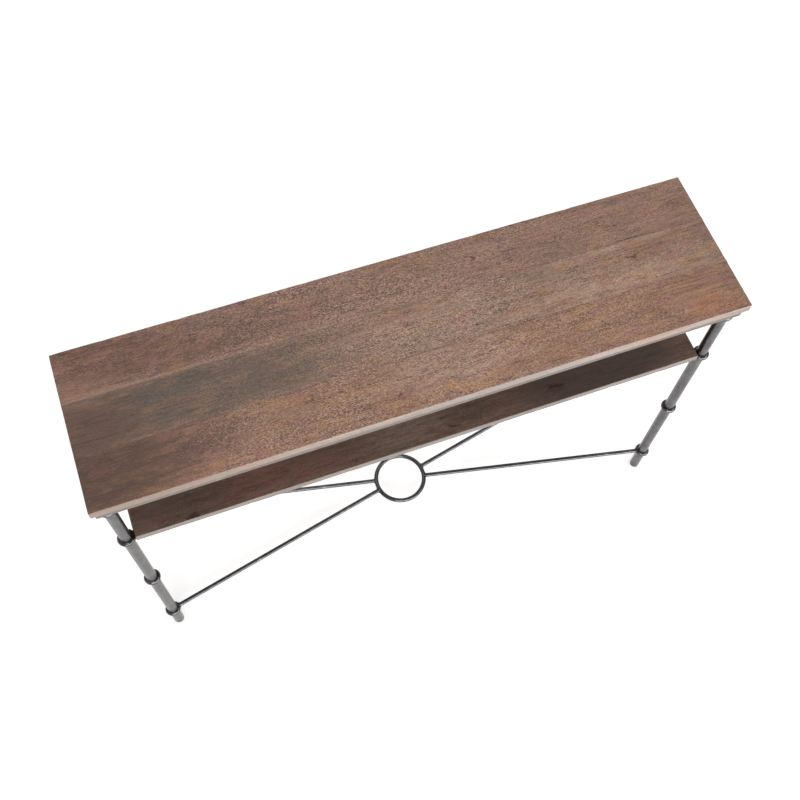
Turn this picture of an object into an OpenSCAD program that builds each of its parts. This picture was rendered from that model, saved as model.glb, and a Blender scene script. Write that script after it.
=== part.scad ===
/* [Table] */
// Length of the table top, left to right
top_w = 1220; // [1000:10:1500]
// Depth of the table top, front to back
top_d = 308; // [280:2:400]
// Height of the top surface above the floor
table_h = 795; // [720:5:860]
// Thickness of the top boards
top_t = 20; // [16:1:30]
// Small bevel along the outer edges of the boards
edge_bevel = 1.2; // [0.5:0.1:2]

/* [Frame under the top] */
// Height of the flat bar frame rails
rail_h = 28; // [20:1:32]
// Thickness of the flat bar frame rails
rail_t = 4; // [3:0.5:6]
// How far the long rails are set back from the front and back edges
rail_inset_y = 8.5; // [6:0.5:9]
// How far the end rails are set back from the ends
rail_inset_x = 5; // [3:0.5:6]
// Side of the square plate on top of each leg
plate_side = 46; // [44:1:60]
// Thickness of the leg plates and of the screw tabs
plate_t = 4; // [3:0.5:5]
// Length of a screw tab along its rail
tab_w = 30; // [20:1:50]
// How far a screw tab reaches in from its rail
tab_reach = 20; // [16:1:40]
// Distance of the four long-side tabs from the middle
tab_x = 200; // [100:10:300]

/* [Legs] */
// Outer diameter of the leg tube
leg_od = 22; // [20:1:24]
// Wall of the leg tube
leg_wall = 1.5; // [1:0.1:2.5]
// Leg axis to the end of the top
leg_inset_x = 23.5; // [22:0.5:26]
// Leg axis to the front or back edge of the top
leg_inset_y = 27; // [26:0.5:30]
// Half height of a collar, and how far it stands out from the leg
collar_r = 6; // [4:0.5:7]
// Gap between the frame rails and the top collars
top_collar_gap = 6; // [0.5:0.5:10]
// Shelf collar centre, below the top surface
shelf_collar_drop = 215; // [180:5:260]
// Thickness of the foot glide below the tube
glide_t = 3; // [2:0.5:6]
// Length of the glide's plug inside the tube
glide_plug = 14; // [8:1:30]

/* [Shelf] */
// Gap between each end of the shelf and the collars
shelf_gap = 0.5; // [0.5:0.5:4]
// Depth of the shelf
shelf_d = 279; // [240:1:280]
// Thickness of the shelf boards
shelf_t = 17; // [15:1:22]
// Width of the flat bar under each end of the shelf
bearer_w = 24; // [20:1:40]
// Thickness of the flat bar under each end of the shelf
bearer_t = 5; // [4:0.5:6]

/* [Stretcher] */
// Height of the ring, the rods and the lowest collars above the floor
stretcher_z = 84; // [60:2:140]
// Centre line radius of the middle ring
ring_r = 57; // [40:1:80]
// Diameter of the ring's round bar
ring_bar = 10; // [8:0.5:12]
// Diameter of the four straight rods
rod_bar = 9.5; // [8:0.5:9.5]

/* [Screws] */
// Shank diameter of the wood screws
screw_d = 3.8; // [3:0.1:4]
// Length of the screw shank under the head
screw_len = 16; // [14:1:16]
// Diameter of the screw head
screw_head_d = 7.6; // [7:0.1:8.5]
// Height of the screw head
screw_head_h = 2.4; // [2:0.1:3]

/* [Hidden] */
$fn = 64;
OVERCUT = 1;
BOARD_COUNT = 3;
BOARDS = [["front", 0], ["middle", 1], ["back", 2]];
CORNERS = [
    ["front_left", -1, -1],
    ["front_right", 1, -1],
    ["back_left", -1, 1],
    ["back_right", 1, 1]
];
SIDES = [["left", -1], ["right", 1]];

// Heights above the floor
top_under_z = table_h - top_t;
rail_z = top_under_z - rail_h;
plate_z = top_under_z - plate_t;
shelf_collar_z = table_h - shelf_collar_drop;
middle_collar_z = (shelf_collar_z + stretcher_z) / 2;
// The bearer meets the collar near its widest part, and the shelf lies on the bearer
BEARER_DROP = 2;
bearer_z = shelf_collar_z - BEARER_DROP;
shelf_z = bearer_z + bearer_t;
LEVELS = [
    ["top", rail_z - top_collar_gap - collar_r],
    ["shelf", shelf_collar_z],
    ["middle", middle_collar_z],
    ["lower", stretcher_z]
];

// Plan positions
leg_r = leg_od / 2;
leg_x = top_w / 2 - leg_inset_x;
leg_y = top_d / 2 - leg_inset_y;
rail_out_x = top_w / 2 - rail_inset_x;
rail_out_y = top_d / 2 - rail_inset_y;
rail_in_x = rail_out_x - rail_t;
rail_in_y = rail_out_y - rail_t;
shelf_w = 2 * (leg_x - leg_r - collar_r - shelf_gap);
// The bearers stay clear of the leg tubes, and run a little past the leg axes
BEARER_CLEAR = 3.5;
BEARER_PAST = 8;
bearer_out_x = leg_x - leg_r - BEARER_CLEAR;
bearer_mid_x = bearer_out_x - bearer_w / 2;
bearer_end_y = leg_y + BEARER_PAST;

// Each tab: name, middle of its root on the rail, direction that it reaches in
TABS = [
    ["front_left", [-tab_x, -rail_in_y], 90],
    ["front_right", [tab_x, -rail_in_y], 90],
    ["back_left", [-tab_x, rail_in_y], -90],
    ["back_right", [tab_x, rail_in_y], -90],
    ["left_end", [-rail_in_x, 0], 0],
    ["right_end", [rail_in_x, 0], 180]
];

// Screw holes: clearance in the metal, pilot in the wood
CLEARANCE = 0.8;
PILOT_CLEARANCE = 0.1;
clearance_d = screw_d + CLEARANCE;
pilot_d = screw_d + PILOT_CLEARANCE;

// Each plate has two holes, one near each of its inner corners
PLATE_HOLE_MARGIN = 9;
plate_hole_far = plate_side - PLATE_HOLE_MARGIN;
plate_hole_near = 11;
TAB_CORNER_R = 8;
tab_hole = tab_reach - TAB_CORNER_R;

// Cross recess in a screw head, and the flat at a screw's tip
RECESS_L = 4.4;
RECESS_W = 1;
RECESS_DEPTH = 1.4;
TIP_D = 0.6;
TIP_FLAT = 0.4;

// Bevel round the foot of a glide
GLIDE_BEVEL = 1;

WOOD = "#8a6a55";
SHELF_WOOD = "#5f4638";
FRAME_STEEL = "#7a6e66";
LEG_STEEL = "#8c8c8e";
DARK_STEEL = "#3b3b3d";
PLASTIC = "#5b5b5d";
SCREW_STEEL = "#2f2f31";

PLATE_HOLES = [
    for (c = CORNERS, h = [[plate_hole_far, plate_hole_near], [plate_hole_near, plate_hole_far]])
        [c[1] * (rail_in_x - h[0]), c[2] * (rail_in_y - h[1])]
];
TAB_HOLES = [for (t = TABS) t[1] + tab_hole * [cos(t[2]), sin(t[2])]];
SHELF_HOLES = [
    for (s = SIDES, b = BOARDS)
        [s[1] * bearer_mid_x, board_mid(b[1], shelf_d)]
];

function board_low(i, depth) = -depth / 2 + i * depth / BOARD_COUNT;
function board_mid(i, depth) = board_low(i + 0.5, depth);

// One board of a glued panel. Only the panel's own edges are bevelled.
module panel_board(i, length, depth, thick, z) {
    lo = board_low(i, depth);
    hi = board_low(i + 1, depth);
    front = i == 0 ? edge_bevel : 0;
    back = i == BOARD_COUNT - 1 ? edge_bevel : 0;
    // Drawn in Y and Z, then pushed out along X
    translate([-length / 2, 0, z])
        rotate([90, 0, 90])
        linear_extrude(height = length)
        polygon(concat(
            front > 0 ? [[lo, front], [lo + front, 0]] : [[lo, 0]],
            back > 0 ? [[hi - back, 0], [hi, back]] : [[hi, 0]],
            back > 0 ? [[hi, thick - back], [hi - back, thick]] : [[hi, thick]],
            front > 0 ? [[lo + front, thick], [lo, thick - front]] : [[lo, thick]]
        ));
}

module pilot_holes(points, z, depth) {
    for (p = points)
        translate([p[0], p[1], z - OVERCUT]) cylinder(d = pilot_d, h = depth + OVERCUT);
}

// Clearance hole through metal that starts at z
module screw_hole(p, z, thick) {
    translate([p[0], p[1], z - OVERCUT]) cylinder(d = clearance_d, h = thick + 2 * OVERCUT);
}

module top_board(i) {
    color(WOOD) difference() {
        panel_board(i, top_w, top_d, top_t, top_under_z);
        pilot_holes(concat(PLATE_HOLES, TAB_HOLES), top_under_z, screw_len - plate_t);
    }
}

module shelf_board(i) {
    color(SHELF_WOOD) difference() {
        panel_board(i, shelf_w, shelf_d, shelf_t, shelf_z);
        pilot_holes(SHELF_HOLES, shelf_z, screw_len - bearer_t);
    }
}

// The long rails run the full length, and the end rails are welded between them
module long_rail(side) {
    color(FRAME_STEEL)
        translate([-rail_out_x, side > 0 ? rail_in_y : -rail_out_y, rail_z])
        cube([2 * rail_out_x, rail_t, rail_h]);
}

module end_rail(side) {
    color(FRAME_STEEL)
        translate([side > 0 ? rail_in_x : -rail_out_x, -rail_in_y, rail_z])
        cube([rail_t, 2 * rail_in_y, rail_h]);
}

// Square plate welded into the frame's corner, which the leg is welded to
module leg_plate(corner) {
    color(FRAME_STEEL) difference() {
        translate([
            corner[1] > 0 ? rail_in_x - plate_side : -rail_in_x,
            corner[2] > 0 ? rail_in_y - plate_side : -rail_in_y,
            plate_z
        ])
            cube([plate_side, plate_side, plate_t]);
        for (p = PLATE_HOLES)
            screw_hole(p, plate_z, plate_t);
    }
}

// Tab welded to the inside of a rail, with a rounded free end and one hole
module top_tab(tab) {
    color(FRAME_STEEL)
        translate([tab[1][0], tab[1][1], plate_z])
        rotate([0, 0, tab[2]])
        difference() {
            union() {
                translate([0, -tab_w / 2, 0]) cube([tab_hole, tab_w, plate_t]);
                translate([0, TAB_CORNER_R - tab_w / 2, 0])
                    cube([tab_reach, tab_w - 2 * TAB_CORNER_R, plate_t]);
                for (s = [-1, 1])
                    translate([tab_hole, s * (tab_w / 2 - TAB_CORNER_R), 0])
                        cylinder(r = TAB_CORNER_R, h = plate_t);
            }
            screw_hole([tab_hole, 0], 0, plate_t);
        }
}

module leg(corner) {
    color(LEG_STEEL)
        translate([corner[1] * leg_x, corner[2] * leg_y, glide_t])
        difference() {
            cylinder(d = leg_od, h = plate_z - glide_t);
            translate([0, 0, -OVERCUT]) cylinder(d = leg_od - 2 * leg_wall, h = plate_z);
        }
}

// Plastic plug pushed into the tube, with a bevelled disc that stands on the floor
module foot_glide(corner) {
    color(PLASTIC)
        translate([corner[1] * leg_x, corner[2] * leg_y, 0]) {
            cylinder(r1 = leg_r - GLIDE_BEVEL, r2 = leg_r, h = GLIDE_BEVEL);
            translate([0, 0, GLIDE_BEVEL]) cylinder(r = leg_r, h = glide_t - GLIDE_BEVEL);
            translate([0, 0, glide_t]) cylinder(r = leg_r - leg_wall, h = glide_plug);
        }
}

// Half round section of a collar, with its flat side at radius from
module collar_section(from) {
    intersection() {
        translate([leg_r, 0]) circle(r = collar_r);
        translate([leg_r, -collar_r]) square([collar_r, 2 * collar_r]);
    }
    if (from < leg_r)
        translate([from, -collar_r]) square([leg_r - from, 2 * collar_r]);
}

module collar(corner, z) {
    color(DARK_STEEL)
        translate([corner[1] * leg_x, corner[2] * leg_y, z])
        rotate_extrude()
        collar_section(leg_r);
}

// The room that a collar and its leg take, for the pieces that are coped around them
module collar_room(corner, z) {
    translate([corner[1] * leg_x, corner[2] * leg_y, z])
        rotate_extrude()
        collar_section(0);
}

// Flat bar under one end of the shelf, coped and welded to the front and back collars
module shelf_bearer(side) {
    color(FRAME_STEEL) difference() {
        translate([side > 0 ? bearer_out_x - bearer_w : -bearer_out_x, -bearer_end_y, bearer_z])
            cube([bearer_w, 2 * bearer_end_y, bearer_t]);
        for (c = CORNERS)
            collar_room(c, shelf_collar_z);
        for (p = SHELF_HOLES)
            screw_hole(p, bearer_z, bearer_t);
    }
}

module stretcher_ring() {
    color(DARK_STEEL)
        translate([0, 0, stretcher_z])
        rotate_extrude()
        translate([ring_r, 0]) circle(d = ring_bar);
}

// Straight rod from a lower collar to the ring, coped at both ends
module stretcher_rod(corner) {
    span = norm([leg_x, leg_y]);
    color(DARK_STEEL) difference() {
        translate([0, 0, stretcher_z])
            rotate([0, 90, atan2(corner[2] * leg_y, corner[1] * leg_x)])
            translate([0, 0, ring_r])
            cylinder(d = rod_bar, h = span - ring_r - leg_r);
        stretcher_ring();
        collar_room(corner, stretcher_z);
    }
}

// Pan head wood screw, driven upwards, with its head under the metal at z
module screw(p, z) {
    tip_z = screw_head_h + screw_len - screw_d;
    translate([p[0], p[1], z - screw_head_h]) difference() {
        union() {
            cylinder(d = screw_head_d, h = screw_head_h);
            translate([0, 0, screw_head_h]) cylinder(d = screw_d, h = screw_len - screw_d);
            translate([0, 0, tip_z]) cylinder(d1 = screw_d, d2 = TIP_D, h = screw_d - TIP_FLAT);
        }
        for (a = [0, 90])
            rotate([0, 0, a])
                translate([-RECESS_L / 2, -RECESS_W / 2, -OVERCUT])
                cube([RECESS_L, RECESS_W, RECESS_DEPTH + OVERCUT]);
    }
}

module screws(points, z) {
    color(SCREW_STEEL)
        for (p = points)
            screw(p, z);
}

for (b = BOARDS) {
    top_board(b[1]);
    shelf_board(b[1]);
}
long_rail(-1);  // frame_rail_front
long_rail(1);  // frame_rail_back
end_rail(-1);  // frame_rail_left
end_rail(1);  // frame_rail_right
for (t = TABS) {
    top_tab(t);
}
for (c = CORNERS) {
    leg_plate(c);
    leg(c);
    foot_glide(c);
    for (l = LEVELS) {
        collar(c, l[1]);
    }
    stretcher_rod(c);
}
for (s = SIDES) {
    shelf_bearer(s[1]);
}
stretcher_ring();
screws(PLATE_HOLES, plate_z);  // leg_plate_screws
screws(TAB_HOLES, plate_z);  // top_tab_screws
screws(SHELF_HOLES, bearer_z);  // shelf_screws
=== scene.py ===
"""Console table: a rustic top and shelf of three boards each, on a welded frame of round steel legs."""
import math
import random
from typing import NamedTuple

import bpy
import numpy as np
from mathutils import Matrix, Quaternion, Vector, noise


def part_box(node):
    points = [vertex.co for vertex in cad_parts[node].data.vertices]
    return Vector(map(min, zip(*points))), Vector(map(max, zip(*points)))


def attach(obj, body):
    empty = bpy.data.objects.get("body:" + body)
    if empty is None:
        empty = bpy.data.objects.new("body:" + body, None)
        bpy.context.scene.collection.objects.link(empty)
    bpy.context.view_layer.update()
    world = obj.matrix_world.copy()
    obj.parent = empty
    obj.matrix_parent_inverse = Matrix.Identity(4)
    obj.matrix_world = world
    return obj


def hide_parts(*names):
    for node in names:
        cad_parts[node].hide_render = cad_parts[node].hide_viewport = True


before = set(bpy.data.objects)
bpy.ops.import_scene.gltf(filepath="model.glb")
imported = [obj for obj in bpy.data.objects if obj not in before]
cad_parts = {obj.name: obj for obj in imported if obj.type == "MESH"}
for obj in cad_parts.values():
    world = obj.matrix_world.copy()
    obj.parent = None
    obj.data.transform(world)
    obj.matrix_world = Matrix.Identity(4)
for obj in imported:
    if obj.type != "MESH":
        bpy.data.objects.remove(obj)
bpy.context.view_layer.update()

BODY = "root"
CORNERS = ("front_left", "front_right", "back_left", "back_right")
MM = 0.001
THROUGH = 1000.0  # a size along Z so large that a pattern goes straight through a board


# ---------------------------------------------------------------- materials

def hue(code):
    """Linear colour of an sRGB hex code."""
    parts = [int(code[i:i + 2], 16) / 255 for i in (0, 2, 4)]
    return [p / 12.92 if p <= 0.04045 else ((p + 0.055) / 1.055) ** 2.4 for p in parts] + [1.0]


class Shader:
    """One material's node tree. The methods take and return sockets, numbers or colours."""

    def __init__(self, name):
        self.material = bpy.data.materials.new(name)
        self.material.use_nodes = True
        self.tree = self.material.node_tree
        self.tree.nodes.clear()
        self.place = self.add("TexCoord").outputs["Object"]

    def add(self, kind, inputs=(), **settings):
        """A new node with these settings, and these inputs by name or number."""
        node = self.tree.nodes.new("ShaderNode" + kind)
        for key, value in settings.items():
            setattr(node, key, value)
        for key, value in dict(inputs).items():
            if isinstance(value, bpy.types.NodeSocket):
                self.tree.links.new(value, node.inputs[key])
            else:
                node.inputs[key].default_value = value
        return node

    def math(self, operation, *values):
        """What a Math node makes of these."""
        return self.add("Math", enumerate(values), operation=operation).outputs[0]

    def seen_from(self, at, size, turn=0.0, place=None):
        """The place as seen from at, turned by turn degrees about Z, in units of size along each axis."""
        inputs = {"Vector": place or self.place, "Location": at, "Scale": size}
        inputs["Rotation"] = (0, 0, math.radians(turn))
        return self.add("Mapping", inputs, vector_type="TEXTURE").outputs[0]

    def noise(self, size, seed, detail=2.0, roughness=0.5, turn=0.0, place=None):
        """Noise from 0 to 1, whose features are about size metres along each axis."""
        vector = self.seen_from((seed, seed * 0.7, 0), size, turn, place)
        inputs = {"Vector": vector, "Scale": 1.0, "Detail": detail, "Roughness": roughness}
        return self.add("TexNoise", inputs).outputs["Fac"]

    def rise(self, value, low, high):
        """0 at low, 1 at high, and smooth in between."""
        inputs = {"Value": value, "From Min": low, "From Max": high}
        return self.add("MapRange", inputs, interpolation_type="SMOOTHSTEP").outputs[0]

    def mix(self, share, a, b):
        """Colour a with a share of colour b over it."""
        return self.add("Mix", {0: share, 6: a, 7: b}, data_type="RGBA").outputs[2]

    def ramp(self, value, stops):
        """Colour at value, through stops of (position, colour)."""
        node = self.add("ValToRGB", {0: value})
        points = node.color_ramp.elements
        while len(points) < len(stops):
            points.new(1.0)
        for point, (position, colour) in zip(points, stops):
            point.position = position
            point.color = colour
        return node.outputs[0]

    def bump(self, height, depth, under=None):
        """A normal that shows height, in metres of depth, over the normal under."""
        inputs = {"Height": height, "Distance": depth, "Strength": 1.0}
        if under:
            inputs["Normal"] = under
        return self.add("Bump", inputs).outputs[0]

    def surface(self, colour, roughness, normal, metallic=0.0, specular=0.5):
        """Ends the tree, and returns the material."""
        inputs = {
            "Base Color": colour,
            "Roughness": roughness,
            "Normal": normal,
            "Metallic": metallic,
            "Specular IOR Level": specular,
        }
        principled = self.add("BsdfPrincipled", inputs)
        output = self.add("OutputMaterial")
        self.tree.links.new(principled.outputs[0], output.inputs[0])
        return self.material


class Spot(NamedTuple):
    """A soft elliptical patch of another colour on a board."""

    at: tuple  # its centre along X and Y, in metres
    size: tuple  # half its length and half its depth
    hue: str
    share: float  # how much of the hue shows in its middle
    turn: float = 0.0  # in degrees about Z
    core: float = 0.35  # how far out it is even, before it fades
    calm: float = 0.0  # how far it hides the mottling and the flecks
    crisp: bool = False  # a smooth outline instead of a ragged one


class Split(NamedTuple):
    """A crack along the grain: its middle and its size in metres."""

    x: float
    y: float
    length: float
    width: float
    depth: float


# The wood's noise: size of its features along X, Y and Z in metres, offset of its seed, detail, roughness
WOOD_NOISE = {
    "streaks": ((0.34, 0.026, 0.03), 0.0, 5.0, 0.62),
    "ring_bend": ((0.22, 0.05, 0.05), 1.3, 3.0, 0.6),
    "fibres": ((0.040, 0.0013, 0.0013), 2.1, 3.0, 0.6),
    "pores": ((0.014, 0.0010, 0.0010), 3.7, 1.0, 0.5),
    "threads": ((0.090, 0.0022, 0.0022), 14.2, 3.0, 0.6),
    "blotch": ((0.058, 0.021, 0.021), 4.4, 4.0, 0.62),
    "rosy": ((0.045, 0.014, 0.014), 9.1, 3.0, 0.6),
    "murky": ((0.050, 0.011, 0.011), 12.6, 4.0, 0.74),
    "rough_areas": ((0.14, 0.05, 0.05), 7.9, 2.0, 0.5),
    "flecks": ((0.0040, 0.0014, 0.0014), 5.2, 2.0, 0.75),
    "cross_flecks": ((0.0036, 0.0014, 0.0014), 6.1, 2.0, 0.75),
    "edge_streaks": ((0.16, 0.004, 0.004), 8.3, 3.0, 0.6),
    "year_bend": ((0.1, 0.02, 0.02), 10.4, 2.0, 0.5),
    "years": ((0.0026, 1, 1), 0.0, 2.0, 0.6),
    "end_pores": ((0.01, 0.0007, 0.0007), 3.9, 1.0, 0.5),
}
HEART_DEPTH = 0.03  # metres from a board's underside down to the heart of its tree
RING_RATE = 520.0  # radians of a ring per metre from the heart: a ring every 12 mm
RING_BEND = 46.0  # radians by which the rings wander
YEAR_BEND = 0.006  # metres by which the end grain's rings wander
RAGGED_SIZE = (0.03, 0.012, 0.03)
RAGGED_SHIFT = (0.075, 0.030, 0)  # metres by which ragged outlines wander
SPOT_END = 1.25  # where a spot has faded out, in its own sizes
FLECK_TURNS = (16, -20)  # degrees between the grain and the two sets of saw marks
CHATTER_RATE = 680.0  # radians per metre: a planer mark every 9 mm
CHATTER_SLANT = -0.45  # metres along X for a metre across the board
KNOT_REACH = (2.6, 1.5)  # how far a knot bends the grain along X and Y, in its own size
KNOT_PUSH = 0.8  # how far it pushes the grain aside, as a share of the grain's distance
KNOT_STRETCH = 1.35  # a knot's length over its depth
KNOT_RING_RATE = 16.0  # radians of its rings over its own size
KNOT_RING, KNOT_HEART = "4a2f22", "2c1c15"
DULL_UNDERSIDE = "7d6552"
RELIEF = 0.35 * MM  # height of the grain in the bump


class Wood(Shader):
    """Rustic stained wood whose grain runs along X. Its methods add one layer each, in wood()."""

    def __init__(self, name, board, base_z):
        super().__init__(name)
        self.board = board
        self.bent_place = self.bend_round_knots()
        self.ragged_place = self.make_ragged()
        self.reach = self.reach_from((0, board["heart"], base_z - HEART_DEPTH))
        self.rings = self.growth_rings()
        self.fibres = self.pattern("fibres", self.bent_place)
        self.pore = self.rise(self.pattern("pores", self.bent_place), 0.60, 0.72)
        self.blotch = self.pattern("blotch")
        self.facing = self.add("SeparateXYZ", {0: self.add("NewGeometry").outputs["Normal"]}).outputs
        self.still = 1.0  # how much of the mottling and the flecks the calm spots leave

    def vector(self, operation, *values):
        """The vector that a VectorMath node makes from these."""
        return self.add("VectorMath", enumerate(values), operation=operation).outputs[0]

    def scaled(self, vector, factor):
        """The vector times a number."""
        return self.add("VectorMath", {0: vector, "Scale": factor}, operation="SCALE").outputs[0]

    def length(self, vector):
        """The length of a vector."""
        return self.add("VectorMath", {0: vector}, operation="LENGTH").outputs["Value"]

    def pattern(self, kind, place=None, turn=0.0):
        """One of the wood's noise patterns, from 0 to 1."""
        size, offset, detail, roughness = WOOD_NOISE[kind]
        return self.noise(size, self.board["seed"] + offset, detail, roughness, turn, place)

    def paint(self, share, colour, code):
        """Colour with a share of the hue code over it."""
        return self.mix(share, colour, hue(code))

    def two_tone(self, value, low, high, kind):
        """From the board's dark to its light tone of a kind, as value goes from low to high."""
        dark, light = self.board[kind + "_dark"], self.board[kind + "_light"]
        return self.ramp(value, [(low, hue(dark)), (high, hue(light))])

    def bend_round_knots(self):
        """The place with the grain pushed apart round each knot."""
        place = self.place
        for x, y, size in self.board["knots"]:
            reach = (size * KNOT_REACH[0], size * KNOT_REACH[1], THROUGH)
            q = self.seen_from((x, y, 0), reach, 0, place)
            squared = self.add("VectorMath", {0: q, 1: q}, operation="DOT_PRODUCT").outputs["Value"]
            pull = self.math("EXPONENT", self.math("MULTIPLY", squared, -1.0))
            offset = self.vector("SUBTRACT", place, (x, y, 0))
            across = self.vector("MULTIPLY", offset, (0, KNOT_PUSH, 0))
            place = self.vector("SUBTRACT", place, self.scaled(across, pull))
        return place

    def make_ragged(self):
        """The place with a jitter that makes the outlines of patches ragged."""
        vector = self.seen_from((self.board["seed"], 0, 0), RAGGED_SIZE)
        jitter = self.add("TexNoise", {"Vector": vector, "Scale": 1.0, "Detail": 4.0}).outputs["Color"]
        centred = self.vector("SUBTRACT", jitter, (0.5, 0.5, 0.5))
        return self.vector("ADD", self.place, self.vector("MULTIPLY", centred, RAGGED_SHIFT))

    def reach_from(self, heart):
        """Distance from the heart of the tree, which runs along X."""
        flat = self.vector("MULTIPLY", self.bent_place, (0, 1, 1))
        return self.add("VectorMath", {0: flat, 1: heart}, operation="DISTANCE").outputs["Value"]

    def growth_rings(self):
        """Waves from 0 to 1 round the heart of the tree."""
        bend = self.math("MULTIPLY", self.pattern("ring_bend", self.bent_place), RING_BEND)
        phase = self.math("MULTIPLY_ADD", self.reach, RING_RATE, bend)
        return self.math("MULTIPLY_ADD", self.math("SINE", phase), 0.5, 0.5)

    def spot_mask(self, spot, place):
        """The spot's share inside its ellipse, and 0 outside."""
        q = self.seen_from((*spot.at, 0), (*spot.size, THROUGH), spot.turn, place)
        return self.math("MULTIPLY", self.rise(self.length(q), SPOT_END, spot.core), spot.share)

    def stain(self):
        """The stain's colour, in streaks along the grain."""
        streaks = self.pattern("streaks", self.bent_place)
        tone = self.math("MULTIPLY_ADD", self.rings, 0.09, streaks)
        tone = self.math("MULTIPLY_ADD", self.fibres, 0.26, self.math("SUBTRACT", tone, 0.175))
        dark, mid, light = (hue(code) for code in self.board["stain"])
        return self.ramp(tone, [(0.22, dark), (0.50, mid), (0.78, light)])

    def with_spots(self, colour):
        """Patches of other colour: where the stain took differently, and the darker, greyer, more even left
        end of the top.
        """
        for spot in self.board["spots"]:
            mask = self.spot_mask(spot, self.place if spot.crisp else self.ragged_place)
            colour = self.paint(mask, colour, spot.hue)
            if spot.calm:
                left = self.math("MULTIPLY_ADD", mask, -spot.calm, 1.0)
                self.still = self.math("MULTIPLY", self.still, left)
        return colour

    def with_chatter(self, colour):
        """Slanted bars that a planer left."""
        for spot in self.board.get("chatter", ()):
            on_board = self.add("SeparateXYZ", {0: self.place}).outputs
            slant = self.math("MULTIPLY_ADD", on_board["Y"], CHATTER_SLANT, on_board["X"])
            wave = self.math("SINE", self.math("MULTIPLY", slant, CHATTER_RATE))
            bars = self.math("MULTIPLY_ADD", wave, 0.5, 0.5)
            share = self.math("MULTIPLY", self.spot_mask(spot, self.place), bars)
            colour = self.paint(share, colour, spot.hue)
        return colour

    def with_mottling(self, colour):
        """Golden, rosy and dark mottling over everything, and thin dark streaks along the grain."""
        board = self.board
        mottle = self.math("MULTIPLY", self.still, board["mottle"])
        golden = self.math("MULTIPLY", self.rise(self.blotch, 0.50, 0.62), mottle)
        colour = self.paint(golden, colour, board["blotch"])
        rosy = self.math("MULTIPLY", self.rise(self.pattern("rosy"), 0.51, 0.63), mottle)
        colour = self.paint(rosy, colour, board["rosy"])
        murky = self.math("MULTIPLY", self.rise(self.pattern("murky"), 0.49, 0.66), 0.34)
        murky = self.math("MULTIPLY", murky, self.math("MULTIPLY_ADD", self.still, 0.7, 0.3))
        threads = self.rise(self.pattern("threads", self.bent_place), 0.54, 0.68)
        return self.paint(self.math("MULTIPLY_ADD", threads, 0.42, murky), colour, board["deep"])

    def fleck_share(self):
        """How much the flecks show: less at the ends, in even patches and outside rough areas."""
        along = self.math("ABSOLUTE", self.add("SeparateXYZ", {0: self.place}).outputs["X"])
        inside = self.math("MULTIPLY_ADD", self.rise(along, 0.60, 0.15), 0.5, 0.5)
        rough = self.math("MULTIPLY_ADD", self.rise(self.pattern("rough_areas"), 0.34, 0.62), 0.5, 0.5)
        return self.math("MULTIPLY", self.math("MULTIPLY", rough, inside), self.still)

    def with_flecks(self, colour):
        """The pale and dark flecks of a sawn and waxed surface, and dark pores."""
        board = self.board
        one = self.pattern("flecks", turn=FLECK_TURNS[0])
        other = self.pattern("cross_flecks", turn=FLECK_TURNS[1])
        share = self.fleck_share()
        self.pale = self.math("MULTIPLY", self.rise(self.math("MAXIMUM", one, other), 0.52, 0.69), share)
        self.dark = self.math("MULTIPLY", self.rise(self.math("MINIMUM", one, other), 0.46, 0.28), share)
        dark = self.math("MULTIPLY", self.dark, board["fleck"])
        dark = self.math("MULTIPLY_ADD", self.pore, 0.24, dark)
        colour = self.paint(self.math("MINIMUM", dark, 1.0), colour, board["deep"])
        return self.paint(self.math("MULTIPLY", self.pale, board["fleck"]), colour, board["pale"])

    def with_knots(self, colour):
        """Dark rings round a darker heart."""
        strength = self.board["knot"]
        for x, y, size in self.board["knots"]:
            q = self.seen_from((x, y, 0), (size * KNOT_STRETCH, size, THROUGH), 0, self.ragged_place)
            off = self.length(q)
            wave = self.math("SINE", self.math("MULTIPLY", off, KNOT_RING_RATE))
            ring = self.math("MULTIPLY_ADD", wave, 0.22, strength)
            colour = self.paint(self.math("MULTIPLY", self.rise(off, 1.15, 0.55), ring), colour, KNOT_RING)
            heart = self.math("MULTIPLY", self.rise(off, 0.45, 0.2), strength)
            colour = self.paint(heart, colour, KNOT_HEART)
        return colour

    def with_worn_and_lit_sides(self, colour):
        """The long sides and the arrises, painted pale: partly where the stain has worn off, and partly
        painted light, the front lamp and the bright surround caught by these upright faces.
        """
        upright = self.math("ABSOLUTE", self.facing["Z"])
        side = self.rise(self.math("MULTIPLY_ADD", self.blotch, 0.25, upright), 0.98, 0.62)
        tone = self.two_tone(self.pattern("edge_streaks"), 0.3, 0.7, "edge")
        for spot in self.board.get("edge_spots", ()):
            tone = self.paint(self.spot_mask(spot, self.ragged_place), tone, spot.hue)
        return self.mix(self.math("MULTIPLY", side, 0.86), colour, tone)

    def with_end_grain(self, colour):
        """The two sawn ends, where the growth rings and the pores show."""
        end = self.rise(self.math("ABSOLUTE", self.facing["X"]), 0.6, 0.9)
        depth = self.math("MULTIPLY_ADD", self.pattern("year_bend"), YEAR_BEND, self.reach)
        years = self.pattern("years", self.add("CombineXYZ", {0: depth}).outputs[0])
        tone = self.math("MULTIPLY", years, 0.75)
        tone = self.math("MULTIPLY_ADD", self.pattern("end_pores"), 0.5, tone)
        return self.mix(end, colour, self.two_tone(tone, 0.42, 0.80, "end"))

    def with_underside(self, colour):
        """The underside, which is duller."""
        under = self.rise(self.facing["Z"], -0.5, -0.8)
        return self.paint(self.math("MULTIPLY", under, 0.45), colour, DULL_UNDERSIDE)

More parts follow.
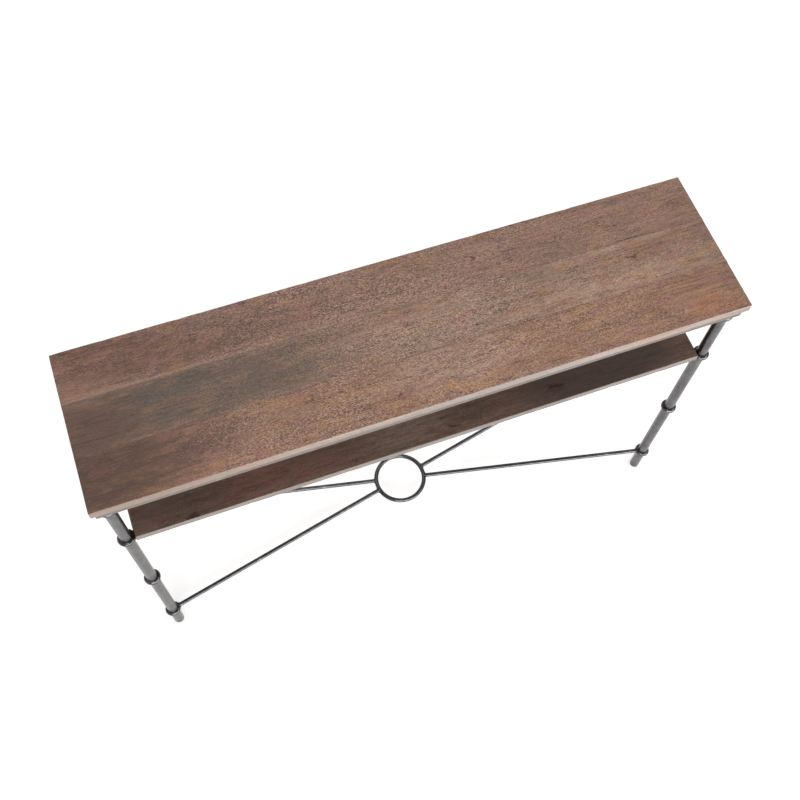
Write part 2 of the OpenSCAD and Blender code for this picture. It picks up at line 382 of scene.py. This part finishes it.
    def sealed(self, colour):
        """The finished material, with the relief of the grain and the sheen of the wax."""
        relief = self.math("MULTIPLY_ADD", self.fibres, 0.6, self.math("MULTIPLY", self.rings, 0.25))
        relief = self.math("MULTIPLY_ADD", self.pore, -0.9, relief)
        relief = self.math("MULTIPLY_ADD", self.math("SUBTRACT", self.pale, self.dark), 0.5, relief)
        sheen = self.math("MULTIPLY_ADD", self.blotch, 0.22, 0.36)
        roughness = self.math("MULTIPLY_ADD", self.fibres, 0.14, sheen)
        return self.surface(colour, roughness, self.bump(relief, RELIEF), specular=0.35)


def wood(name, board, base_z):
    """The material of a board whose underside is at base_z."""
    s = Wood(name, board, base_z)
    colour = s.with_chatter(s.with_spots(s.stain()))
    colour = s.with_knots(s.with_flecks(s.with_mottling(colour)))
    colour = s.with_underside(s.with_end_grain(s.with_worn_and_lit_sides(colour)))
    return s.sealed(colour)


BARE_STEEL, BROWN_STAIN = "a7a39c", "4a3d33"


def steel(name, dark, light, roughness, metallic, drawn=False):
    """Blackened or grey steel with a mottled finish. A drawn tube has fine lines along Z."""
    s = Shader(name)
    mottle = s.noise((0.018, 0.018, 0.026), 1.7, 5.0, 0.62)
    speckle = s.noise((0.0016, 0.0016, 0.0016), 4.9, 2.0, 0.6)
    lines = s.noise((0.0007, 0.0007, 0.06), 2.3, 2.0) if drawn else speckle
    tone = s.math("MULTIPLY_ADD", lines, 0.25, s.math("MULTIPLY", mottle, 0.6))
    tone = s.math("MULTIPLY_ADD", speckle, 0.5, s.math("SUBTRACT", tone, 0.07))
    colour = s.ramp(tone, [(0.35, hue(dark)), (0.78, hue(light))])
    rubbed = s.math("MULTIPLY", s.rise(mottle, 0.60, 0.74), 0.25)
    colour = s.mix(rubbed, colour, hue(BARE_STEEL))
    stain = s.math("MULTIPLY", s.rise(s.noise((0.03, 0.03, 0.012), 8.8, 3.0, 0.6), 0.62, 0.75), 0.25)
    colour = s.mix(stain, colour, hue(BROWN_STAIN))
    normal = s.bump(mottle, 0.0009, s.bump(speckle, 0.00008))
    sheen = s.math("MULTIPLY_ADD", mottle, 0.22, roughness - 0.11)
    return s.surface(colour, sheen, normal, metallic)


def weld_steel():
    """The weld beads: dark, glossier where they are darker, with a little heat tint."""
    s = Shader("weld_steel")
    tint = s.noise((0.004, 0.004, 0.004), 3.1, 3.0, 0.6)
    colour = s.ramp(tint, [(0.3, hue("26262a")), (0.55, hue("4a4a4e")), (0.75, hue("6a5f58"))])
    fine = s.noise((0.0008, 0.0008, 0.0008), 6.6, 2.0)
    return s.surface(colour, s.math("MULTIPLY_ADD", tint, 0.3, 0.25), s.bump(fine, 0.0001), 0.75)


def plastic():
    """The foot glides: dull moulded plastic, scuffed near the floor."""
    s = Shader("glide_plastic")
    grain = s.noise((0.0006, 0.0006, 0.0006), 5.5, 2.0)
    scuff = s.noise((0.004, 0.004, 0.0012), 7.2, 4.0, 0.65)
    colour = s.ramp(scuff, [(0.35, hue("3f3f41")), (0.7, hue("6c6b69"))])
    return s.surface(colour, s.math("MULTIPLY_ADD", scuff, 0.3, 0.45), s.bump(grain, 0.00005), 0.0)


def screw_steel():
    """The screws: black phosphate steel, bright where the driver rubbed it."""
    s = Shader("screw_steel")
    rub = s.noise((0.0014, 0.0014, 0.004), 9.4, 3.0, 0.6)
    colour = s.ramp(rub, [(0.4, hue("2a2a2c")), (0.72, hue("8b8a88"))])
    return s.surface(colour, s.math("MULTIPLY_ADD", rub, 0.2, 0.28), s.bump(rub, 0.00006), 0.9)


# ---------------------------------------------------------------- meshes

def new_piece(name, points, faces, material):
    """A smooth mesh object that rides on the frame."""
    mesh = bpy.data.meshes.new(name)
    mesh.from_pydata([tuple(p) for p in points], [], faces)
    mesh.polygons.foreach_set("use_smooth", [True] * len(mesh.polygons))
    mesh.materials.append(material)
    piece = bpy.data.objects.new(name, mesh)
    bpy.context.scene.collection.objects.link(piece)
    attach(piece, BODY)
    return piece


def block_grid(cuts):
    """Points and quads of the surface of a box, cut at these coordinates along X, Y and Z."""
    index, points, quads = {}, [], []

    def point(cell):
        if cell not in index:
            index[cell] = len(points)
            points.append([cuts[axis][cell[axis]] for axis in range(3)])
        return index[cell]

    for axis in range(3):
        u, v = (axis + 1) % 3, (axis + 2) % 3
        for end in (0, len(cuts[axis]) - 1):
            for i in range(len(cuts[u]) - 1):
                for j in range(len(cuts[v]) - 1):
                    quad = []
                    for step_u, step_v in ((0, 0), (1, 0), (1, 1), (0, 1)):
                        cell = [0, 0, 0]
                        cell[axis], cell[u], cell[v] = end, i + step_u, j + step_v
                        quad.append(point(tuple(cell)))
                    quads.append(quad if end else quad[::-1])
    return np.array(points), quads


def cuts_between(low, high, pitch, rim, extra=()):
    """Coordinates from low to high about pitch apart, closer within rim of both ends, and at extra."""
    count = max(2, round((high - low - 2 * rim) / pitch))
    inner = np.linspace(low + rim, high - rim, count + 1)
    near = [rim * share for share in (0.0, 0.3, 0.65)]
    cuts = [low + n for n in near] + list(inner) + [high - n for n in near]
    clear = [c for c in cuts if all(abs(c - e) > 0.4 * MM for e in extra)]
    return sorted(clear + list(extra))


def ripple(points, size, seed):
    """Smooth noise from 0 to 1 at each point, with features about size metres along each axis."""
    places = points / np.array(size) + seed
    return np.clip([0.5 + 0.5 * noise.noise(Vector(p)) for p in places], 0, 1)


def hollow(points, centre, radius):
    """1 at centre, falling smoothly to 0 past radius."""
    return np.exp(-(((points - np.array(centre)) / radius) ** 2).sum(1) * 2)


BOARD_RIM = 2.2 * MM  # a board's mesh is closer within this distance of its edges
SPLIT_ROWS = (-2.2, -1.0, -0.3, 0.3, 1.0, 2.2)  # rows of the mesh beside a split, in its widths
JOINT_ARRIS = 0.45 * MM  # rounding where two boards of a panel meet
DENTS, CHIPS = 34, 26


def board_cuts(low, high, splits):
    """Where a board's mesh is cut along X, Y and Z. Rows follow each split."""
    rows = [split.y + split.width * row for split in splits for row in SPLIT_ROWS]
    return [
        cuts_between(low[0], high[0], 6 * MM, BOARD_RIM),
        cuts_between(low[1], high[1], 5 * MM, BOARD_RIM, rows),
        cuts_between(low[2], high[2], 4 * MM, BOARD_RIM),
    ]


def arris_radii(points, low, high, seed, panel):
    """Rounding at each point: the panel's own edges are worn round, and its joints are tight."""
    arris = (1.3 + 1.5 * ripple(points, (0.09, 1, 1), seed)) * MM
    arris = np.where(points[:, 2] < (low[2] + high[2]) / 2, 0.45 * arris, arris)
    for side, edge in zip((low[1], high[1]), panel):
        if abs(side - edge) > 1 * MM:
            away = np.clip(abs(points[:, 1] - side) / (6 * MM), 0, 1)
            arris = JOINT_ARRIS + (arris - JOINT_ARRIS) * away
    return arris[:, None]


def wear_depth(points, low, high, board, panel):
    """How far each point has worn in: hand planing, dents, sunken knots, and chips in the panel's edges."""
    rng = random.Random(board["seed"])
    depth = 0.42 * MM * ripple(points, (0.30, 0.055, 0.055), board["seed"] + 3)
    depth += 0.13 * MM * ripple(points, (0.035, 0.012, 0.012), board["seed"] + 7)
    for _ in range(DENTS):
        spot = (rng.uniform(low[0], high[0]), rng.uniform(low[1], high[1]), high[2])
        depth += rng.uniform(0.1, 0.45) * MM * hollow(points, spot, rng.uniform(3, 9) * MM)
    for edge in panel:
        if min(abs(low[1] - edge), abs(high[1] - edge)) > 1 * MM:
            continue
        for _ in range(CHIPS):
            spot = (rng.uniform(low[0], high[0]), edge, rng.choice((low[2], high[2], high[2])))
            depth += rng.uniform(0.15, 0.5) * MM * hollow(points, spot, rng.uniform(5, 14) * MM)
    for x, y, size in board["knots"]:
        depth += 0.5 * MM * hollow(points, (x, y, high[2]), size * 1.3)
    return depth


def open_split(split, points, outward, depth, top, seed):
    """Deepens a split in depth, and moves the points so that it wanders along the grain."""
    aside = points[:, 1] - split.y
    near = np.exp(-((aside / (9 * MM)) ** 2))
    off = abs(aside) / split.width
    along = np.clip(1 - ((points[:, 0] - split.x) / (split.length / 2)) ** 2, 0, 1) ** 0.5
    on_top = points[:, 2] > top - 3 * MM
    depth += np.where(on_top, split.depth * np.clip(1.1 - off, 0, 1) * along, 0)
    wander = (ripple(points * (1, 0, 0), (0.022, 1, 1), seed + 11) - 0.5) * 5 * MM
    points[:, 1] += np.where(outward[:, 2] ** 2 > 0.9, wander * near * (along > 0), 0)


def board_piece(node, board, panel):
    """A worn board that stands for its CAD node, in a panel between these two Y."""
    low, high = (np.array(c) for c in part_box(node))
    splits = board.get("splits", ())
    points, quads = block_grid(board_cuts(low, high, splits))
    radius = arris_radii(points, low, high, board["seed"], panel)
    inner = np.clip(points, low + radius, high - radius)
    outward = (points - inner) / np.linalg.norm(points - inner, axis=1)[:, None]
    points = inner + outward * radius
    depth = wear_depth(points, low, high, board, panel)
    for split in splits:
        open_split(split, points, outward, depth, high[2], board["seed"])
    points = points - outward * depth[:, None]
    piece = new_piece("worn_" + node, points, quads, wood("wood_" + node, board, low[2]))
    piece.modifiers.new("even_shading", "WEIGHTED_NORMAL")
    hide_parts(node)


BEAD_SIDES = 10
RIPPLE, RIPPLE_STEP = 0.14, 2.1  # a bead's ripple, as a share of its thickness, and radians of it a point
LUMP, LUMPS_PER_METRE = 0.3, 400
BEAD_TIP, BEAD_SWELL = 0.35, 0.33  # thickness of an open bead's end, and its growth a point
SADDLE_POINTS = 40


def tube(path, radius, closed, seed, points, faces):
    """Adds a tube along path to points and faces. Its thickness ripples, as a weld bead's does."""
    sides = BEAD_SIDES
    count = len(path)
    middle = sum(path, Vector()) / count
    first = len(points)
    for i, p in enumerate(path):
        after = path[(i + 1) % count] if closed or i < count - 1 else p
        before = path[i - 1] if closed or i > 0 else p
        along = (after - before).normalized()
        side = along.cross(p - middle if closed else Vector((0.31, 0.52, 0.79))).normalized()
        up = side.cross(along)
        end = 1.0 if closed else min(1.0, BEAD_TIP + BEAD_SWELL * min(i, count - 1 - i))
        lumps = noise.noise(p * LUMPS_PER_METRE + Vector((seed, 0, 0)))
        thick = radius * end * (1 + RIPPLE * math.sin(i * RIPPLE_STEP) + LUMP * lumps)
        for k in range(sides):
            turn = math.tau * k / sides
            points.append(p + (side * math.cos(turn) + up * math.sin(turn)) * thick)
    for i in range(count if closed else count - 1):
        for k in range(sides):
            a, b = first + i * sides, first + (i + 1) % count * sides
            faces.append((a + k, a + (k + 1) % sides, b + (k + 1) % sides, b + k))
    if not closed:
        last = first + (count - 1) * sides
        faces.append([first + k for k in reversed(range(sides))])
        faces.append([last + k for k in range(sides)])


def beads(name, paths, radius, closed, material):
    """Makes one piece of the weld beads along these paths."""
    points, faces = [], []
    for seed, path in enumerate(paths):
        tube(path, radius, closed, seed * 3.3, points, faces)
    new_piece(name, points, faces, material)


def straight(a, b, pitch=1.6 * MM):
    """Points from a to b, about pitch apart."""
    a, b = Vector(a), Vector(b)
    count = max(4, round((b - a).length / pitch))
    return [a.lerp(b, i / count) for i in range(count + 1)]


def arc(centre, radius, start, stop, count):
    """Points on a level arc, with angles in radians."""
    closed = stop - start >= math.tau
    angles = [start + (stop - start) * i / count for i in range(count if closed else count + 1)]
    return [Vector(centre) + Vector((math.cos(a), math.sin(a), 0)) * radius for a in angles]


def saddle(centre, towards, core, bar, rod):
    """Where a level rod of radius rod meets a torus about centre: core and bar are the torus's radii."""
    along = Vector((towards.x - centre.x, towards.y - centre.y, 0)).normalized()
    across = Vector((-along.y, along.x, 0))
    loop = []
    for i in range(SADDLE_POINTS):
        turn = math.tau * i / SADDLE_POINTS
        sideways, up = rod * math.cos(turn), rod * math.sin(turn)
        reach = core + math.sqrt(bar * bar - up * up)
        out = math.sqrt(reach * reach - sideways * sideways)
        loop.append(centre + along * out + across * sideways + Vector((0, 0, up)))
    return loop


# ---------------------------------------------------------------- boards

# Knots are (x, y, size) in metres. A stain is its dark, middle and light tone.
TOP = {
    "slot": "top_wood", "mottle": 0.72, "knot": 0.52,
    "rosy": "a27068", "pale": "dcbba8", "deep": "3f2c27",
    # The edge tones colour the upright sides: worn stain, and partly painted light from the front.
    "edge_dark": "998a80", "edge_light": "cfc2b9",
    "end_dark": "5f473a", "end_light": "9c8170",
}
SHELF = {
    "slot": "shelf_wood", "mottle": 0.42, "knot": 0.70, "fleck": 0.48,
    "rosy": "74463f", "pale": "a08673", "deep": "2f201b",
    # The edge tones colour the upright sides: worn stain, and partly painted light from the front.
    "edge_dark": "8a8079", "edge_light": "b2a8a1",
    "end_dark": "4c3a31", "end_light": "80695b",
}

# On each top board the spots with a calm, round x = -0.6 to -0.3, make the top darker, greyer and more even
# towards its left end.
TOP_BOARDS = {
    "top_board_front": {
        **TOP, "seed": 11.3, "heart": -0.30, "fleck": 1.0,
        "stain": ("7f5746", "a0765d", "bf967a"), "blotch": "b4855c",
        "knots": [(-0.062, -0.112, 0.005)],
        # Spots on the front edge's tone, which is worn stain and partly painted light.
        "edge_spots": [
            Spot((-0.60, -0.154), (0.42, 0.10), "a08b7e", 0.8),
            Spot((0.12, -0.154), (0.20, 0.10), "aca09f", 0.7),
            Spot((-0.33, -0.154), (0.05, 0.10), "b5968c", 0.5),
            Spot((0.42, -0.154), (0.07, 0.10), "bf9f8e", 0.5),
        ],
        "chatter": [Spot((0.448, -0.117), (0.040, 0.014), "6a4e40", 0.72)],
        "spots": [
            Spot((-0.60, -0.09), (0.19, 0.090), "60493f", 0.94, core=0.5, calm=0.85),
            Spot((-0.41, -0.09), (0.12, 0.05), "6b5048", 0.75, calm=0.4),
            Spot((-0.27, -0.10), (0.10, 0.035), "9c7c66", 0.5),
            Spot((0.04, -0.09), (0.15, 0.05), "bf9c87", 0.7),
            Spot((-0.213, -0.075), (0.020, 0.005), "5c463b", 0.6, turn=-25),
            Spot((0.029, -0.128), (0.011, 0.010), "d28c4c", 0.8, crisp=True),
            Spot((0.022, -0.143), (0.016, 0.008), "6a5a58", 0.75),
            Spot((0.24, -0.125), (0.08, 0.03), "87644f", 0.5),
            Spot((0.41, -0.108), (0.07, 0.022), "82604f", 0.6),
            Spot((0.545, -0.128), (0.060, 0.028), "b0744e", 0.78),
            Spot((0.483, -0.120), (0.0022, 0.015), "5f4233", 0.8, turn=-24, crisp=True),
            Spot((0.489, -0.119), (0.0022, 0.015), "d0a98f", 0.6, turn=-24, crisp=True),
            Spot((0.60, -0.08), (0.03, 0.06), "7d6355", 0.55),
        ],
    },
    "top_board_middle": {
        **TOP, "seed": 23.9, "heart": 0.11, "fleck": 1.0,
        "stain": ("7a5e50", "9d7d6a", "be9b84"), "blotch": "ad815b",
        "knots": [(0.445, 0.016, 0.006)],
        "spots": [
            Spot((-0.37, 0.0), (0.28, 0.075), "685b51", 0.85, core=0.4, calm=0.8),
            Spot((-0.45, 0.03), (0.10, 0.03), "5a5750", 0.45),
            Spot((0.21, 0.03), (0.09, 0.03), "7a655a", 0.55),
            Spot((-0.60, -0.02), (0.13, 0.10), "685148", 0.90, calm=0.85),
            Spot((0.08, -0.01), (0.12, 0.06), "ad9180", 0.4),
            Spot((0.36, -0.033), (0.22, 0.024), "c29d85", 0.75),
            Spot((0.445, 0.016), (0.04, 0.014), "9c6f4f", 0.5),
            Spot((0.165, -0.013), (0.042, 0.0035), "5b4a40", 0.7, turn=-25, crisp=True),
            Spot((0.60, 0.0), (0.03, 0.06), "79665b", 0.5),
        ],
        "splits": [Split(x=-0.03, y=-0.0492, length=0.56, width=0.7 * MM, depth=1.2 * MM)],
    },
    "top_board_back": {
        **TOP, "seed": 37.1, "heart": 0.26, "fleck": 0.90,
        "stain": ("735449", "967465", "b48f7a"), "blotch": "a47a5a",
        "knots": [(0.155, 0.106, 0.006)],
        "spots": [
            Spot((-0.52, 0.12), (0.15, 0.05), "735044", 0.8, calm=0.4),
            Spot((-0.29, 0.147), (0.035, 0.009), "5d4a49", 0.7),
            Spot((-0.34, 0.10), (0.20, 0.05), "74564c", 0.78, calm=0.4),
            Spot((0.04, 0.11), (0.16, 0.05), "95735f", 0.5),
            Spot((0.33, 0.08), (0.06, 0.03), "836a5c", 0.5),
            Spot((0.48, 0.10), (0.08, 0.03), "987a69", 0.5),
            Spot((-0.33, 0.0545), (0.33, 0.0040), "ab9688", 0.5, core=0.2, crisp=True),
            Spot((0.464, 0.0535), (0.045, 0.0022), "4b392f", 0.8, crisp=True),
        ],
        "splits": [Split(x=0.464, y=0.0545, length=0.11, width=0.8 * MM, depth=1.5 * MM)],
    },
}

SHELF_BOARDS = {
    "shelf_board_front": {
        **SHELF, "seed": 41.7, "heart": -0.02,
        "stain": ("5a453c", "785f54", "967a6b"), "blotch": "665a45",
        "knots": [
            (0.272, -0.110, 0.009), (0.052, -0.122, 0.007),
            (-0.146, -0.131, 0.0045), (-0.462, -0.134, 0.007),
        ],
        "spots": [
            Spot((-0.45, -0.10), (0.12, 0.05), "54453d", 0.6),
            Spot((-0.03, -0.10), (0.10, 0.05), "8d7c70", 0.7),
            Spot((0.09, -0.10), (0.05, 0.03), "58483e", 0.6),
            Spot((-0.30, -0.11), (0.13, 0.03), "8c5f55", 0.6),
            Spot((0.36, -0.10), (0.18, 0.06), "504541", 0.85, core=0.6, calm=0.8),
        ],
    },
    "shelf_board_middle": {
        **SHELF, "seed": 53.2, "heart": 0.14,
        "stain": ("5f4b42", "7d665a", "9a7f71"), "blotch": "6b5c47",
        "knots": [(-0.31, 0.012, 0.008)],
        "spots": [
            Spot((-0.18, 0.0), (0.16, 0.05), "5f5048", 0.6),
            Spot((0.30, 0.01), (0.14, 0.03), "8c705f", 0.5),
        ],
        "splits": [Split(x=0.22, y=0.009, length=0.16, width=0.8 * MM, depth=1.4 * MM)],
    },
    "shelf_board_back": {
        **SHELF, "seed": 67.8, "heart": -0.09,
        "stain": ("59453b", "775e51", "947868"), "blotch": "7c6048",
        "knots": [(0.41, 0.10, 0.007)],
        "spots": [
            Spot((0.05, 0.10), (0.20, 0.04), "5a483e", 0.6),
            Spot((-0.42, 0.09), (0.10, 0.03), "866752", 0.5),
        ],
    },
}


def make_boards():
    """The top and the shelf, each a panel of three boards."""
    for boards in (TOP_BOARDS, SHELF_BOARDS):
        sides = [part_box(node) for node in boards]
        panel = (min(low.y for low, _ in sides), max(high.y for _, high in sides))
        for node, board in boards.items():
            board_piece(node, board, panel)


# ---------------------------------------------------------------- steel

def paint_steel():
    """Gives each CAD node of the frame its material."""
    legs = steel("leg_steel", "3b3a3a", "7b7878", 0.30, 0.95, drawn=True)
    black = steel("gunmetal", "38383a", "666667", 0.15, 0.95)
    rails = steel("rail_steel", "675b53", "8b7e76", 0.42, 0.5)
    glides, screws = plastic(), screw_steel()
    rules = (
        ("leg_plate_screws", screws), ("top_tab_screws", screws), ("shelf_screws", screws),
        ("foot_glide_", glides), ("leg_plate_", rails), ("leg_", legs), ("frame_rail_", rails),
        ("top_tab_", rails), ("collar_", black), ("shelf_bearer_", rails), ("stretcher_", black),
    )
    for node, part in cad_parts.items():
        for start, material in rules:
            if node.startswith(start):
                part.data.materials.clear()
                part.data.materials.append(material)
                break


def torus_of(node):
    """A level ring's centre, and the radii of its circle and of its bar."""
    low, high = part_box(node)
    bar = (high.z - low.z) / 2
    return (low + high) / 2, (high.x - low.x) / 2 - bar, bar


def rod_welds(corner):
    """The beads at the two ends of a stretcher rod: at the ring, and at the leg's collar."""
    ring, ring_circle, ring_bar = torus_of("stretcher_ring")
    collar, collar_circle, collar_bar = torus_of("collar_lower_" + corner)
    low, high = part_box("stretcher_rod_" + corner)
    rod = (high.z - low.z) / 2
    at_ring = saddle(ring, collar, ring_circle, ring_bar, rod)
    at_collar = saddle(collar, ring, collar_circle, collar_bar, rod)
    return at_ring, at_collar


def plate_weld(corner):
    """The bead round a leg, just under its plate."""
    leg, leg_radius, _ = torus_of("collar_lower_" + corner)
    plate_low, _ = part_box("leg_plate_" + corner)
    gap = 0.5 * MM
    return arc((leg.x, leg.y, plate_low.z - gap), leg_radius + gap, 0, math.tau, 44)


def bearer_weld(corner):
    """The bead under the end of a shelf bearer, round the collar that carries it."""
    left = "left" in corner
    collar, circle, bar = torus_of("collar_shelf_" + corner)
    low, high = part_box("shelf_bearer_" + ("left" if left else "right"))
    drop = collar.z - low.z
    reach = circle + math.sqrt(bar ** 2 - drop ** 2)
    gap = abs(collar.x) - max(abs(low.x), abs(high.x))
    spread = math.acos(gap / reach)
    inward = 0.0 if left else math.pi
    centre = (collar.x, collar.y, low.z - 0.3 * MM)
    return arc(centre, reach, inward - spread, inward + spread, 16)


def rail_welds(corner):
    """The beads in a corner of the top's frame: down between two rails, and along both over the plate."""
    left, front = "left" in corner, "front" in corner
    rail_low, rail_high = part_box("frame_rail_left" if left else "frame_rail_right")
    plate_low, plate_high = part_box("leg_plate_" + corner)
    x = rail_high.x if left else rail_low.x
    y = rail_low.y if front else rail_high.y
    z = plate_low.z
    far_x = plate_high.x if left else plate_low.x
    far_y = plate_high.y if front else plate_low.y
    inner = (x, y, z)
    return [
        straight((x, y, rail_low.z + 1 * MM), inner),
        straight(inner, (far_x, y, z)),
        straight(inner, (x, far_y, z)),
    ]


def tab_weld(node):
    """The bead along which a tab is welded under its rail."""
    low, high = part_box(node)
    inset = 2 * MM
    if "end" in node:
        x = low.x if "left" in node else high.x
        return straight((x, low.y + inset, low.z), (x, high.y - inset, low.z))
    y = low.y if "front" in node else high.y
    return straight((low.x + inset, y, low.z), (high.x - inset, y, low.z))


def make_welds():
    """The weld beads where bars, collars, plates and rails meet."""
    at_ring, at_collars = zip(*(rod_welds(corner) for corner in CORNERS))
    at_plates = [plate_weld(corner) for corner in CORNERS]
    at_bearers = [bearer_weld(corner) for corner in CORNERS]
    tabs = [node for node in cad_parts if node.startswith("top_tab_") and node != "top_tab_screws"]
    at_rails = [path for corner in CORNERS for path in rail_welds(corner)] + [tab_weld(tab) for tab in tabs]
    weld = weld_steel()
    for name, paths, thickness, closed, slot in (
        ("weld_ring_rods", at_ring, 1.5, True, "stretcher_steel"),
        ("weld_collar_rods", at_collars, 1.4, True, "stretcher_steel"),
        ("weld_leg_plates", at_plates, 1.5, True, "frame_steel"),
        ("weld_bearer_collars", at_bearers, 1.3, False, "frame_steel"),
        ("weld_rails", at_rails, 1.3, False, "frame_steel"),
    ):
        beads(name, paths, thickness * MM, closed, weld)


# ---------------------------------------------------------------- studio

def make_floor():
    """A pale floor that glows a little, so that it stays nearly white."""
    s = Shader("studio_floor")
    haze = s.noise((0.9, 0.9, 0.9), 0.5, 2.0)
    colour = s.ramp(haze, [(0.3, hue("f4f4f3")), (0.7, hue("f8f8f8"))])
    material = s.surface(colour, 0.85, s.bump(haze, 0.0001), 0.0, 0.1)
    glow = material.node_tree.nodes["Principled BSDF"]
    glow.inputs["Emission Color"].default_value = (1.0, 1.0, 1.0, 1.0)
    glow.inputs["Emission Strength"].default_value = 0.45
    mesh = bpy.data.meshes.new("studio_floor")
    half = 30.0  # metres
    corners = [(-half, -half, 0), (half, -half, 0), (half, half, 0), (-half, half, 0)]
    mesh.from_pydata(corners, [], [(0, 1, 2, 3)])
    mesh.materials.append(material)
    floor = bpy.data.objects.new("studio_floor", mesh)
    bpy.context.scene.collection.objects.link(floor)


def make_light(name, at, aim, size, power):
    """A soft rectangular studio light."""
    light = bpy.data.lights.new(name, "AREA")
    light.shape = "RECTANGLE"
    light.size, light.size_y = size
    light.energy = power
    lamp = bpy.data.objects.new(name, light)
    lamp.location = at
    lamp.rotation_mode = "QUATERNION"
    lamp.rotation_quaternion = (Vector(aim) - Vector(at)).to_track_quat("-Z", "Y")
    bpy.context.scene.collection.objects.link(lamp)
    return lamp


def make_card(name, at, aim, size, power):
    """A bright card that shows in polished steel without lighting the wood."""
    make_light(name, at, aim, size, power).visible_diffuse = False


def make_world(brightness):
    """An even white surround."""
    world = bpy.data.worlds.new("studio")
    world.use_nodes = True
    background = world.node_tree.nodes["Background"]
    background.inputs["Color"].default_value = (1.0, 1.0, 1.0, 1.0)
    background.inputs["Strength"].default_value = brightness
    bpy.context.scene.world = world


def make_camera():
    """Looks down on the table from the front left."""
    at = Vector((-0.3731, -0.8404, 2.3835))
    aim = Vector((-0.0353, -0.1557, 0.795))
    roll = math.radians(6.46)
    camera = bpy.data.cameras.new("camera")
    camera.sensor_width = 36.0
    camera.lens = 46.379
    camera.shift_x = -0.0292
    camera.shift_y = 0.0125
    holder = bpy.data.objects.new("camera", camera)
    holder.location = at
    holder.rotation_mode = "QUATERNION"
    holder.rotation_quaternion = (aim - at).to_track_quat("-Z", "Y") @ Quaternion((0, 0, 1), roll)
    bpy.context.scene.collection.objects.link(holder)
    bpy.context.scene.camera = holder


def main():
    """Makes the studio and the table."""
    make_camera()
    make_floor()
    make_world(0.5)
    # Each light has a place, an aim, a width and height in metres, and a power in watts
    make_light("key", (-0.9, -2.2, 3.4), (0, 0, 0.5), (1.2, 0.8), 22)
    make_light("fill", (2.6, -1.2, 2.4), (0, 0, 0.5), (1.0, 1.0), 9)
    make_light("front", (0.3, -3.2, 0.9), (0, 0, 0.5), (5.0, 0.3), 30)
    make_card("card", (0.6, -3.4, 1.0), (0, 0, 0.5), (6.0, 1.8), 180)
    make_light("overhead", (0.6, 0.8, 3.6), (0, 0, 0.6), (2.4, 1.2), 14)
    bpy.context.scene.view_settings.view_transform = "Standard"
    make_boards()
    paint_steel()
    make_welds()


main()
